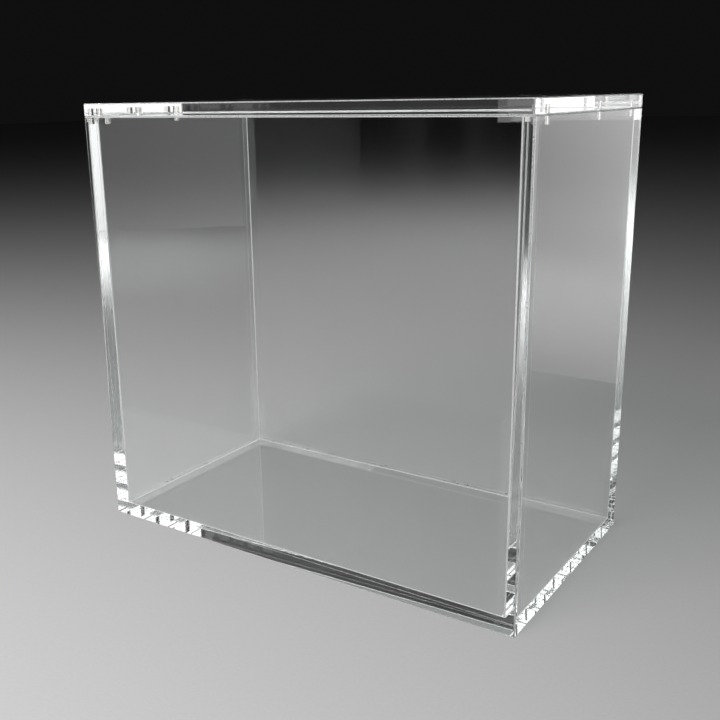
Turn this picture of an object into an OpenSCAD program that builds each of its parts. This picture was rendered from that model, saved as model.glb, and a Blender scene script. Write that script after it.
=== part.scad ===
// Clear acrylic display case: a cemented open box with a loose flat lid that
// small magnets hold down. All sizes are in millimetres. The origin is the
// centre of the footprint at the resting face, +X is the right-hand end,
// +Y the back and +Z up.

/* [Case] */
// Outside width, left to right
case_width = 192; // [120:1:400]
// Outside depth, front to back
case_depth = 104; // [80:1:300]
// Overall height with the lid on
case_height = 178; // [80:1:400]

/* [Panels] */
// Thickness of every panel
panel_thickness = 5; // [4:0.5:10]
// Polished chamfer along the exposed outside edges
edge_chamfer = 0.4; // [0.2:0.05:0.8]
// Light edge break along the cemented joints
joint_break = 0.1; // [0.05:0.05:0.3]
// Air gap left between the walls and the lid that rests on them
lid_gap = 0.1; // [0.05:0.05:0.5]

/* [Magnets] */
// Diameter of each magnet
magnet_diameter = 3; // [2:0.5:3]
// Length of each magnet
magnet_length = 3; // [2:0.5:3]
// Radial room for glue round each magnet
glue_gap = 0.05; // [0.05:0.05:0.2]
// Distance of the end magnets from the front and back of the case
magnet_inset = 11.5; // [8:0.5:20]
// How far the middle magnet of the left wall sits behind the middle
left_setback = 0; // [-8:0.5:8]
// How far the middle magnet of the right wall sits behind the middle
right_setback = 6; // [-8:0.5:8]

/* [Hidden] */

acrylic = [0.86, 0.93, 0.95, 0.35];
nickel = [0.75, 0.75, 0.73];
round_fn = 48;

lid_bottom = case_height - panel_thickness;
wall_top = lid_bottom - lid_gap;
wall_height = wall_top - panel_thickness;
side_length = case_depth - 2 * panel_thickness;
pocket_radius = magnet_diameter / 2 + glue_gap;

// Magnet rows stand over the middle of each side wall's thickness
row_x = (case_width - panel_thickness) / 2;
front_y = magnet_inset - case_depth / 2;
back_y = case_depth / 2 - magnet_inset;
left_row = [for (y = [front_y, left_setback, back_y]) [-row_x, y]];
right_row = [for (y = [front_y, right_setback, back_y]) [row_x, y]];

// Points of one corner of an outline, cut by a chamfer of the given size
function cut_corner(corner, toward_a, toward_b, chamfer) =
    chamfer > 0
    ? [corner + chamfer * toward_a, corner + chamfer * toward_b]
    : [corner];

// Rectangle from the origin, with its own chamfer at each corner, listed
// anticlockwise from the origin
function cut_rectangle(width, height, chamfers) = concat(
    cut_corner([0, 0], [0, 1], [1, 0], chamfers[0]),
    cut_corner([width, 0], [-1, 0], [0, 1], chamfers[1]),
    cut_corner([width, height], [0, -1], [-1, 0], chamfers[2]),
    cut_corner([0, height], [1, 0], [0, -1], chamfers[3]));

// Block whose edges along Z, Y and X carry the chamfers of its plan (XY),
// front (XZ) and side (YZ) outlines
module cut_block(size, plan, front, side) {
    intersection() {
        linear_extrude(size.z)
            polygon(cut_rectangle(size.x, size.y, plan));
        translate([0, size.y, 0])
            rotate([90, 0, 0])
                linear_extrude(size.y)
                    polygon(cut_rectangle(size.x, size.z, front));
        rotate([90, 0, 90])
            linear_extrude(size.x)
                polygon(cut_rectangle(size.y, size.z, side));
    }
}

// Upright cylinder on each point of a row, from height z upwards
module posts(row, z, length, radius) {
    for (point = row)
        translate([point.x, point.y, z])
            cylinder(h = length, r = radius, $fn = round_fn);
}

// Floor of the case, the full footprint, with the walls cemented on top
module base_panel() {
    c = edge_chamfer;
    j = joint_break;
    color(acrylic)
        translate([-case_width / 2, -case_depth / 2, 0])
            cut_block([case_width, case_depth, panel_thickness],
                      [c, c, c, c], [c, c, j, j], [c, c, j, j]);
}

// Full-width wall, drawn as the front one
module wide_wall() {
    c = edge_chamfer;
    j = joint_break;
    translate([-case_width / 2, -case_depth / 2, panel_thickness])
        cut_block([case_width, panel_thickness, wall_height],
                  [c, c, j, j], [j, j, c, c], [j, 0, j, c]);
}

module front_panel() {
    color(acrylic)
        wide_wall();
}

module back_panel() {
    color(acrylic)
        mirror([0, 1, 0])
            wide_wall();
}

// Side wall between the front and back panels, drawn as the left one, with
// blind pockets for its magnets in the top edge
module side_wall(row) {
    c = edge_chamfer;
    j = joint_break;
    difference() {
        translate([-case_width / 2, -side_length / 2, panel_thickness])
            cut_block([panel_thickness, side_length, wall_height],
                      [j, 0, 0, j], [j, 0, j, c], [0, 0, 0, 0]);
        posts(row, wall_top - magnet_length, magnet_length + lid_gap, pocket_radius);
    }
}

module left_panel() {
    color(acrylic)
        side_wall(left_row);
}

module right_panel() {
    color(acrylic)
        mirror([1, 0, 0])
            side_wall([for (point = right_row) [-point.x, point.y]]);
}

// Loose flat lid, flush with the outside of the walls, with blind pockets for
// its magnets in the underside
module lid_panel() {
    c = edge_chamfer;
    color(acrylic)
        difference() {
            translate([-case_width / 2, -case_depth / 2, lid_bottom])
                cut_block([case_width, case_depth, panel_thickness],
                          [c, c, c, c], [c, c, c, c], [c, c, c, c]);
            posts(concat(left_row, right_row), lid_bottom - lid_gap,
                  magnet_length + lid_gap, pocket_radius);
        }
}

// Magnet flush with the top edge of a side wall
module case_magnet(point) {
    color(nickel)
        posts([point], wall_top - magnet_length, magnet_length, magnet_diameter / 2);
}

// Magnet flush with the underside of the lid
module lid_magnet(point) {
    color(nickel)
        posts([point], lid_bottom, magnet_length, magnet_diameter / 2);
}

base_panel();
front_panel();
back_panel();
left_panel();
right_panel();
lid_panel();
case_magnet(left_row[0]);  // case_magnet_front_left
case_magnet(left_row[1]);  // case_magnet_middle_left
case_magnet(left_row[2]);  // case_magnet_back_left
case_magnet(right_row[0]);  // case_magnet_front_right
case_magnet(right_row[1]);  // case_magnet_middle_right
case_magnet(right_row[2]);  // case_magnet_back_right
lid_magnet(left_row[0]);  // lid_magnet_front_left
lid_magnet(left_row[1]);  // lid_magnet_middle_left
lid_magnet(left_row[2]);  // lid_magnet_back_left
lid_magnet(right_row[0]);  // lid_magnet_front_right
lid_magnet(right_row[1]);  // lid_magnet_middle_right
lid_magnet(right_row[2]);  // lid_magnet_back_right
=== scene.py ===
"""Clear acrylic display case with a loose magnetic lid, on a pale floor in soft studio light.

Lengths are in metres in the part's frame: the origin is the centre of the footprint, +X is the
right-hand end, +Y the back and +Z up.
"""
import math

import bpy
from mathutils import Euler, Matrix, Vector


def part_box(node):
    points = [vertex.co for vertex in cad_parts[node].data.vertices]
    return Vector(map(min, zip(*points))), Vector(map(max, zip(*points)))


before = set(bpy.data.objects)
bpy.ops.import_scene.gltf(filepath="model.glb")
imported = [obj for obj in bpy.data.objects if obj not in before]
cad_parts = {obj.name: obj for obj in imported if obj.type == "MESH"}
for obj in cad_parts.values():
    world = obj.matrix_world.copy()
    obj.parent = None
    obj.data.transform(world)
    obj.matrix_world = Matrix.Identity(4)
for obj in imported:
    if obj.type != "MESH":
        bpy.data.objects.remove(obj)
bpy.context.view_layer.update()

MM = 0.001

PANELS = ["base_panel", "front_panel", "back_panel", "left_panel", "right_panel", "lid_panel"]
MAGNETS = [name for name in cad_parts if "magnet" in name]
CASE_MAGNETS = [name for name in MAGNETS if name.startswith("case")]

# Sizes of the case, all read from the frame
BASE_LOW, BASE_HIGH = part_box("base_panel")
MAGNET_LOW, MAGNET_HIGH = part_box("case_magnet_front_left")
BASE_TOP = BASE_HIGH.z
SHEET = BASE_TOP - BASE_LOW.z
INNER_X = BASE_HIGH.x - SHEET
INNER_Y = BASE_HIGH.y - SHEET
WALL_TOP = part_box("front_panel")[1].z
LID_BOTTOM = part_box("lid_panel")[0].z
MAGNET_RADIUS = (MAGNET_HIGH.x - MAGNET_LOW.x) / 2
MAGNET_LENGTH = MAGNET_HIGH.z - MAGNET_LOW.z

# How close to a joint's plane a surface lies to count as part of the joint
JOINT_REACH = 0.02 * MM
# The glue layer round a magnet is thinner than this
GLUE_REACH = 0.08 * MM
# Half width of the cloudy line that solvent leaves along the inside of a joint
SEAM_REACH = 0.3 * MM
# A face counts as a chamfer when no part of its unit normal is larger than this
CHAMFER_LIMIT = 0.9
# Divides a mask's 0 from its 1
HALF = 0.5

ACRYLIC_IOR = 1.49
LIGHT_BOUNCES = 40
DIFFUSE_BOUNCES = 3

# Colours
WHITE = (1, 1, 1, 1)
POLISHED_ACRYLIC = (0.997, 0.999, 0.9985, 1)
SCRAPED_ACRYLIC = (0.98, 0.99, 0.99, 1)
MILKY = (0.95, 0.96, 0.96, 1)
DUST = (0.9, 0.9, 0.9, 1)
ACRYLIC_SHADOW = (0.96, 0.965, 0.965, 1)
NICKEL = (0.86, 0.85, 0.82, 1)
FLOOR_DARKEST = 0.70
FLOOR_PALEST = 0.74

# Share of milky scatter in the scraped chamfers, and in the cloudy seam lines
CHAMFER_MILK = 0.35
SEAM_MILK = 0.8

# The room's glow as it is seen directly, and as it is seen through the case
ROOM_GLOW = 0.005
ROOM_GLOW_THROUGH = 0.032

FLOOR_SIDE = 12.0
FLOOR_HEIGHT = -0.05 * MM
# Height of the lower edge of a light sheet that stands on the floor
SHEET_FOOT = 0.5 * MM

# The photo's camera, fitted to the corners of the case; angles in degrees, lens and sensor in mm
CAMERA_PLACE = (0.20686, -0.32037, 0.18028)
CAMERA_YAW = 34.583
CAMERA_PITCH = -15.779
CAMERA_ROLL = -1.106
CAMERA_LENS = 47.22
CAMERA_SENSOR = 36
CAMERA_SHIFT = 0.0417
NEAREST_SEEN = 0.01


class Tree:
    """Adds nodes to one node tree, and links what it is given to their inputs."""

    def __init__(self, tree):
        self.tree = tree
        tree.nodes.clear()

    def node(self, kind, inputs=None, **settings):
        made = self.tree.nodes.new(kind)
        for name, value in settings.items():
            setattr(made, name, value)
        for key, value in (inputs or {}).items():
            self.feed(made.inputs[key], value)
        return made

    def feed(self, socket, value):
        if isinstance(value, bpy.types.NodeSocket):
            self.tree.links.new(value, socket)
        elif value is not None:
            socket.default_value = value

    def shader(self, kind, inputs=None):
        """The output of a new shader node."""
        return self.node(kind, inputs).outputs[0]

    def mix(self, share, first, second):
        """The first shader where share is 0, and the second where it is 1."""
        return self.shader("ShaderNodeMixShader", {0: share, 1: first, 2: second})

    def math(self, operation, a, b=None):
        made = self.node("ShaderNodeMath", operation=operation)
        for socket, value in zip(made.inputs, (a, b)):
            self.feed(socket, value)
        return made.outputs[0]

    def above(self, value, limit):
        return self.math("GREATER_THAN", value, limit)

    def below(self, value, limit):
        return self.math("LESS_THAN", value, limit)

    def size_of(self, value):
        return self.math("ABSOLUTE", value)

    def near(self, value, place, reach):
        """1 where value is within reach of place."""
        return self.below(self.size_of(self.math("SUBTRACT", value, place)), reach)

    def both(self, *masks):
        """1 where all the masks are 1."""
        out = masks[0]
        for mask in masks[1:]:
            out = self.math("MULTIPLY", out, mask)
        return out

    def largest(self, *values):
        out = values[0]
        for value in values[1:]:
            out = self.math("MAXIMUM", out, value)
        return out

    def either(self, *masks):
        """1 where any of the masks is 1."""
        return self.largest(*masks)

    def ramp(self, value, low, high, low_out, high_out):
        """Straight line from low_out at low to high_out at high, clamped."""
        made = self.node("ShaderNodeMapRange", {0: value, 1: low, 2: high, 3: low_out, 4: high_out})
        return made.outputs[0]

    def place(self):
        """The surface point in the part's frame, at rest."""
        return self.node("ShaderNodeTexCoord").outputs["Object"]

    def parts(self, vector):
        """The x, y and z of a vector."""
        split = self.node("ShaderNodeSeparateXYZ", {0: vector})
        return split.outputs[0], split.outputs[1], split.outputs[2]

    def stretched(self, vector, scale):
        return self.node("ShaderNodeVectorMath", {0: vector, 1: scale}, operation="MULTIPLY").outputs[0]

    def noise(self, vector, scale, detail, roughness=0.5):
        """Noise from 0 to 1, with about as many features in a unit of vector as scale says."""
        made = self.node("ShaderNodeTexNoise", {"Vector": vector, "Scale": scale, "Detail": detail,
                                                "Roughness": roughness})
        return made.outputs["Fac"]

    def finish(self, surface):
        self.node("ShaderNodeOutputMaterial", {"Surface": surface})


def new_material(name):
    material = bpy.data.materials.new(name)
    material.use_nodes = True
    return material, Tree(material.node_tree)


def give(node, material):
    """Puts one material on every face of a CAD node."""
    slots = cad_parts[node].material_slots
    for slot in slots:
        slot.material = material
    if not slots:
        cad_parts[node].data.materials.append(material)


def joint_voids(t, vector):
    """1 in the thin dry streaks that solvent leaves unfilled along a cemented joint."""
    streaks = t.noise(vector, scale=420.0, detail=3.0, roughness=0.6)
    patches = t.noise(vector, scale=60.0, detail=1.0)
    streak_limit = 0.60
    patch_limit = 0.5
    return t.both(t.above(streaks, streak_limit), t.above(patches, patch_limit))


def glued_area(t, vector):
    """1 on faces that are cemented to another panel, but for dry streaks under the walls."""
    x, y, z = t.parts(vector)
    far_x = t.size_of(x)
    far_y = t.size_of(y)
    under_walls = t.both(t.near(z, BASE_TOP, JOINT_REACH),
                         t.either(t.above(far_x, INNER_X), t.above(far_y, INNER_Y)))
    at_corners = t.both(t.near(far_y, INNER_Y, JOINT_REACH), t.above(far_x, INNER_X),
                        t.below(z, WALL_TOP), t.above(z, BASE_TOP))
    return t.either(t.both(under_walls, t.below(joint_voids(t, vector), HALF)), at_corners)


def magnet_glue(t, vector):
    """1 on the surfaces of the pockets that the magnets are glued into. Each lid magnet stands over
    a case magnet, so one upright ring takes in both pockets."""
    x, y, z = t.parts(vector)
    pocket_radius = MAGNET_RADIUS + GLUE_REACH
    rings = []
    for name in CASE_MAGNETS:
        low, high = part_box(name)
        axis = (low + high) / 2
        away_x = t.math("POWER", t.math("SUBTRACT", x, axis.x), 2.0)
        away_y = t.math("POWER", t.math("SUBTRACT", y, axis.y), 2.0)
        rings.append(t.below(t.math("ADD", away_x, away_y), pocket_radius ** 2))
    middle = (WALL_TOP + LID_BOTTOM) / 2
    reach = (LID_BOTTOM - WALL_TOP) / 2 + MAGNET_LENGTH + GLUE_REACH
    return t.both(t.either(*rings), t.near(z, middle, reach))


def seam_lines(t, vector):
    """1 along the inside corner of every cemented joint."""
    x, y, z = t.parts(vector)
    far_x = t.size_of(x)
    far_y = t.size_of(y)
    at_end = t.near(far_x, INNER_X, SEAM_REACH)
    at_side = t.near(far_y, INNER_Y, SEAM_REACH)
    inside = t.both(t.below(far_x, INNER_X + SEAM_REACH), t.below(far_y, INNER_Y + SEAM_REACH))
    at_floor = t.near(z, BASE_TOP, SEAM_REACH)
    uprights = t.both(at_end, at_side, t.above(z, BASE_TOP), t.below(z, WALL_TOP))
    return t.either(uprights, t.both(at_floor, inside, t.either(at_end, at_side)))


def chamfer_faces(t):
    """1 on the narrow chamfers, whose normals lie between the axes."""
    normal = t.node("ShaderNodeNewGeometry").outputs["True Normal"]
    size = t.node("ShaderNodeVectorMath", {0: normal}, operation="ABSOLUTE").outputs[0]
    return t.below(t.largest(*t.parts(size)), CHAMFER_LIMIT)


def frosted(t, vector, milk):
    """Scraped or cloudy acrylic: rough glass with a share of milky scatter."""
    scrape = t.noise(vector, scale=1800.0, detail=2.0)
    roughness = t.ramp(scrape, low=0.3, high=0.7, low_out=0.2, high_out=0.5)
    rough = t.shader("ShaderNodeBsdfGlass", {"Color": SCRAPED_ACRYLIC, "IOR": ACRYLIC_IOR,
                                             "Roughness": roughness})
    scattered_back = t.shader("ShaderNodeBsdfDiffuse", {"Color": MILKY})
    scattered_through = t.shader("ShaderNodeBsdfTranslucent", {"Color": MILKY})
    return t.mix(milk, rough, t.mix(0.5, scattered_back, scattered_through))


def surface_marks(t, vector):
    """Share of faint wiping haze on the polished faces, with a few dust specks on the upward ones."""
    wiping_scale = (60.0, 60.0, 9.0)
    wiped = t.noise(t.stretched(vector, wiping_scale), scale=1.0, detail=4.0)
    haze = t.ramp(wiped, low=0.4, high=0.75, low_out=0.0, high_out=0.006)
    speck_scale = 45.0
    speck_radius = 0.012
    speck_cover = 0.6
    spots = t.node("ShaderNodeTexVoronoi", {"Vector": vector, "Scale": speck_scale}).outputs["Distance"]
    facing = t.node("ShaderNodeNewGeometry").outputs["Normal"]
    upward = t.above(t.parts(facing)[2], HALF)
    specks = t.both(t.below(spots, speck_radius), upward)
    return t.either(haze, t.math("MULTIPLY", specks, speck_cover))


def waviness(t, vector):
    """Normal of the slightly wavy surface of cast sheet."""
    wave = t.noise(vector, scale=14.0, detail=1.0)
    return t.node("ShaderNodeBump", {"Height": wave, "Strength": 0.1, "Distance": 0.1 * MM}).outputs[0]


def acrylic():
    """Clear cast acrylic: faintly wavy polished faces, scraped chamfers, and cemented joints
    that pass light but for a few dry streaks."""
    material, t = new_material("clear_acrylic")
    vector = t.place()
    glass = t.shader("ShaderNodeBsdfGlass", {"Color": POLISHED_ACRYLIC, "Roughness": 0.0,
                                             "IOR": ACRYLIC_IOR, "Normal": waviness(t, vector)})
    dust = t.shader("ShaderNodeBsdfDiffuse", {"Color": DUST})
    polished = t.mix(surface_marks(t, vector), glass, dust)
    edged = t.mix(chamfer_faces(t), polished, frosted(t, vector, CHAMFER_MILK))
    glued = t.either(glued_area(t, vector), magnet_glue(t, vector))
    joint = t.shader("ShaderNodeBsdfTransparent", {"Color": WHITE})
    bonded = t.mix(glued, edged, joint)
    seen = t.mix(seam_lines(t, vector), bonded, frosted(t, vector, SEAM_MILK))
    rays = t.node("ShaderNodeLightPath")
    lamplight = t.either(rays.outputs["Is Shadow Ray"], rays.outputs["Is Diffuse Ray"])
    shadow = t.shader("ShaderNodeBsdfTransparent", {"Color": ACRYLIC_SHADOW})
    t.finish(t.mix(lamplight, seen, shadow))
    return material


def nickel():
    """Bright nickel plating with fine turned lines."""
    material, t = new_material("nickel_plate")
    turning_scale = (400.0, 400.0, 9000.0)
    lines = t.noise(t.stretched(t.place(), turning_scale), scale=1.0, detail=2.0)
    roughness = t.ramp(lines, low=0.3, high=0.7, low_out=0.12, high_out=0.3)
    t.finish(t.shader("ShaderNodeBsdfPrincipled", {"Base Color": NICKEL, "Metallic": 1.0,
                                                   "Roughness": roughness}))
    return material


def floor_material():
    """Plain pale matt board with a fine grain."""
    material, t = new_material("pale_floor")
    grain = t.noise(t.place(), scale=900.0, detail=3.0)
    tone = t.ramp(grain, low=0.2, high=0.8, low_out=FLOOR_DARKEST, high_out=FLOOR_PALEST)
    colour = t.node("ShaderNodeCombineColor", {0: tone, 1: tone, 2: tone}).outputs[0]
    t.finish(t.shader("ShaderNodeBsdfPrincipled", {"Base Color": colour, "Roughness": 0.8,
                                                   "Specular IOR Level": 0.0}))
    return material


def make_sheet(name, corners, material):
    """One four-cornered face that isn't part of the object."""
    mesh = bpy.data.meshes.new(name)
    mesh.from_pydata(corners, [], [(0, 1, 2, 3)])
    mesh.materials.append(material)
    sheet = bpy.data.objects.new(name, mesh)
    bpy.context.scene.collection.objects.link(sheet)
    return sheet


def make_floor():
    half = FLOOR_SIDE / 2
    corners = [(-half, -half, 0), (half, -half, 0), (half, half, 0), (-half, half, 0)]
    floor = make_sheet("floor", corners, floor_material())
    floor.location.z = FLOOR_HEIGHT


def glow_material():
    """Even white glow, as strong as each sheet's own "strength" values say. It is seen only by way
    of a reflection, so no sheet shows as a shape through the clear panels."""
    material, t = new_material("glow")
    strength = t.node("ShaderNodeAttribute", attribute_name="strength").outputs["Fac"]
    reflected = t.above(t.node("ShaderNodeLightPath").outputs["Glossy Depth"], HALF)
    hidden = t.shader("ShaderNodeBsdfTransparent")
    shown = t.shader("ShaderNodeEmission", {"Strength": strength})
    t.finish(t.mix(reflected, hidden, shown))
    return material


def sheet_of_light(name, material, corners, foot_glow, top_glow, mirror_only=False):
    """Glowing sheet, from foot_glow along its first edge to top_glow along the opposite one. It
    shows only in the acrylic and the magnets, not to the camera and not on the floor, and with
    mirror_only it shows only to light that was mirrored last."""
    sheet = make_sheet(name, corners, material)
    strength = sheet.data.attributes.new("strength", "FLOAT", "POINT")
    strength.data.foreach_set("value", [foot_glow, foot_glow, top_glow, top_glow])
    sheet.visible_camera = False
    sheet.visible_shadow = False
    sheet.visible_diffuse = False
    sheet.visible_transmission = not mirror_only


def toward(azimuth, distance):
    """Plan point at distance from the case, azimuth degrees from straight behind it to the right."""
    angle = math.radians(azimuth)
    return distance * math.sin(angle), distance * math.cos(angle)


def upright(start, end, foot, top):
    """Corners of an upright sheet over two plan points, lower edge first."""
    return [(*start, foot), (*end, foot), (*end, top), (*start, top)]


def between(azimuths, distance, foot, top):
    """Corners of an upright sheet whose ends lie at two azimuths, both at one distance."""
    start, end = (toward(azimuth, distance) for azimuth in azimuths)
    return upright(start, end, foot, top)


def softbox(name, place, aim, size, watts, spread=180.0):
    """Square area light at place, facing aim, that fans out over spread degrees."""
    lamp = bpy.data.lights.new(name, "AREA")
    lamp.size = size
    lamp.energy = watts
    lamp.spread = math.radians(spread)
    holder = bpy.data.objects.new(name, lamp)
    holder.location = place
    holder.rotation_euler = (Vector(aim) - Vector(place)).to_track_quat("-Z", "Y").to_euler()
    bpy.context.scene.collection.objects.link(holder)
    return holder


def light_only_case(lamp):
    """Keeps a lamp's light off the floor, and its own shape out of the reflections."""
    lit = bpy.data.collections.new(lamp.name + "_lit")
    for node in PANELS + MAGNETS:
        lit.objects.link(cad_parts[node])
    lamp.light_linking.receiver_collection = lit
    lamp.visible_glossy = False
    lamp.visible_transmission = False


def make_lamps():
    """A broad light on the floor in front of the case, a small one on the floor behind it to the
    right, and one on the case alone."""
    softbox("front", place=(-0.15, -0.75, 0.75), aim=(-0.15, -0.70, 0), size=0.5, watts=12.0)
    softbox("pool", place=(0.50, 0.42, 0.45), aim=(0.48, 0.42, 0), size=0.2, watts=1.6, spread=70.0)
    rim = softbox("rim", place=(-0.45, 0.10, 0.85), aim=(0, 0, 0.08), size=0.35, watts=14.0)
    light_only_case(rim)


def make_light_sheets():
    """Large soft sheets round the case, out of the picture, that its edges and panels mirror."""
    glow = glow_material()
    sheet_of_light("behind_right", glow, between((29, 58), 0.88, SHEET_FOOT, top=0.66),
                   foot_glow=0.9, top_glow=1.6)
    sheet_of_light("right_sheen", glow, upright((0.14, 0.25), (0.27, 0.25), SHEET_FOOT, top=0.25),
                   foot_glow=0.5, top_glow=2.6, mirror_only=True)
    sheet_of_light("behind_above", glow, between((16, 50), 1.65, foot=0.75, top=1.15),
                   foot_glow=1.5, top_glow=1.5)
    sheet_of_light("front_left", glow, between((196.5, 203.5), 5.4, SHEET_FOOT, top=3.9),
                   foot_glow=1.6, top_glow=1.6)
    sheet_of_light("key", glow, between((95, 165), 1.25, SHEET_FOOT, top=0.9),
                   foot_glow=1.3, top_glow=2.6)


def studio_world():
    """Dark room, with a faint glow for what is seen through the case."""
    world = bpy.data.worlds.new("studio")
    bpy.context.scene.world = world
    world.use_nodes = True
    t = Tree(world.node_tree)
    through = t.node("ShaderNodeLightPath").outputs["Is Transmission Ray"]
    strength = t.ramp(through, low=0.0, high=1.0, low_out=ROOM_GLOW, high_out=ROOM_GLOW_THROUGH)
    glow = t.shader("ShaderNodeBackground", {"Color": WHITE, "Strength": strength})
    t.node("ShaderNodeOutputWorld", {"Surface": glow})


def make_camera():
    """Camera in front of the case's right end, just above the lid's height and looking down."""
    camera = bpy.data.cameras.new("camera")
    camera.sensor_width = CAMERA_SENSOR
    camera.lens = CAMERA_LENS
    camera.shift_x = CAMERA_SHIFT
    camera.clip_start = NEAREST_SEEN
    tilt = math.pi / 2 + math.radians(CAMERA_PITCH)
    turn = Euler((tilt, 0, math.radians(CAMERA_YAW))).to_matrix()
    roll = Euler((0, 0, math.radians(CAMERA_ROLL))).to_matrix()
    holder = bpy.data.objects.new("camera", camera)
    holder.matrix_world = Matrix.Translation(CAMERA_PLACE) @ (turn @ roll).to_4x4()
    bpy.context.scene.collection.objects.link(holder)
    bpy.context.scene.camera = holder


def set_light_paths():
    """Enough bounces for light that runs inside the panels, and plain colours."""
    cycles = bpy.context.scene.cycles
    cycles.max_bounces = LIGHT_BOUNCES
    cycles.transmission_bounces = LIGHT_BOUNCES
    cycles.glossy_bounces = LIGHT_BOUNCES
    cycles.transparent_max_bounces = LIGHT_BOUNCES
    cycles.diffuse_bounces = DIFFUSE_BOUNCES
    cycles.caustics_reflective = False
    cycles.caustics_refractive = False
    cycles.use_denoising = True
    bpy.context.scene.view_settings.view_transform = "Standard"


def main():
    clear = acrylic()
    plating = nickel()
    for node in PANELS:
        give(node, clear)
    for node in MAGNETS:
        give(node, plating)
    make_floor()
    make_lamps()
    make_light_sheets()
    studio_world()
    make_camera()
    set_light_paths()


main()
